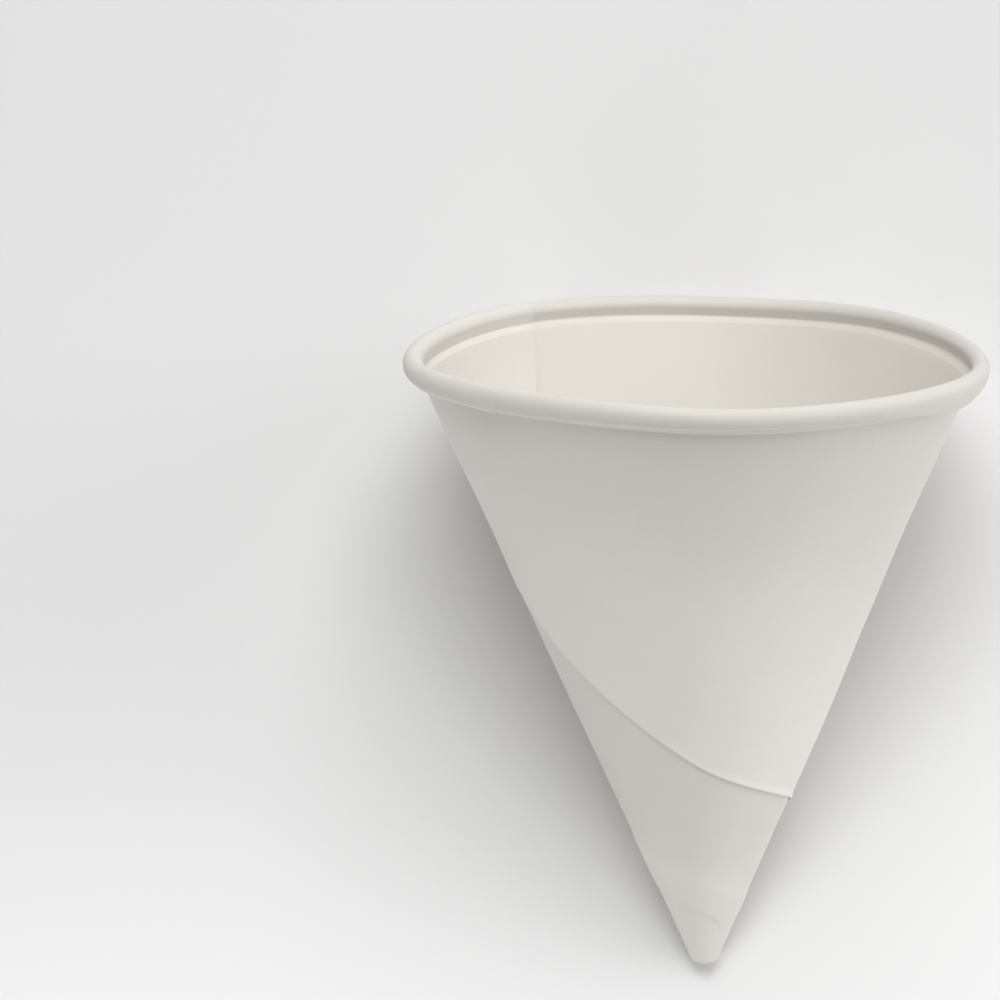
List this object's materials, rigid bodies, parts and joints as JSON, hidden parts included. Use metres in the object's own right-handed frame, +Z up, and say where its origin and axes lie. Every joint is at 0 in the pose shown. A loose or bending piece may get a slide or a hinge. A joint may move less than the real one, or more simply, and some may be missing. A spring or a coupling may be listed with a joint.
{
  "type": "cone paper cup",
  "caption": "Disposable cone-shaped paper drinking cup with a rolled rim, a blunt tip and a wound lap seam, lying on its side as it rests.",
  "frame": {"origin": "on the table surface, under the middle of the lying cup's box", "axes": "+Z up from the table; +Y from the tip to the open mouth; +X to the right as seen from the tip"},
  "size_m": [0.08, 0.0986, 0.0736],
  "materials": {
    "paper": "matt, lightly waxed"
  },
  "bodies": {
    "root": {"cup": "paper"}
  },
  "joints": []
}
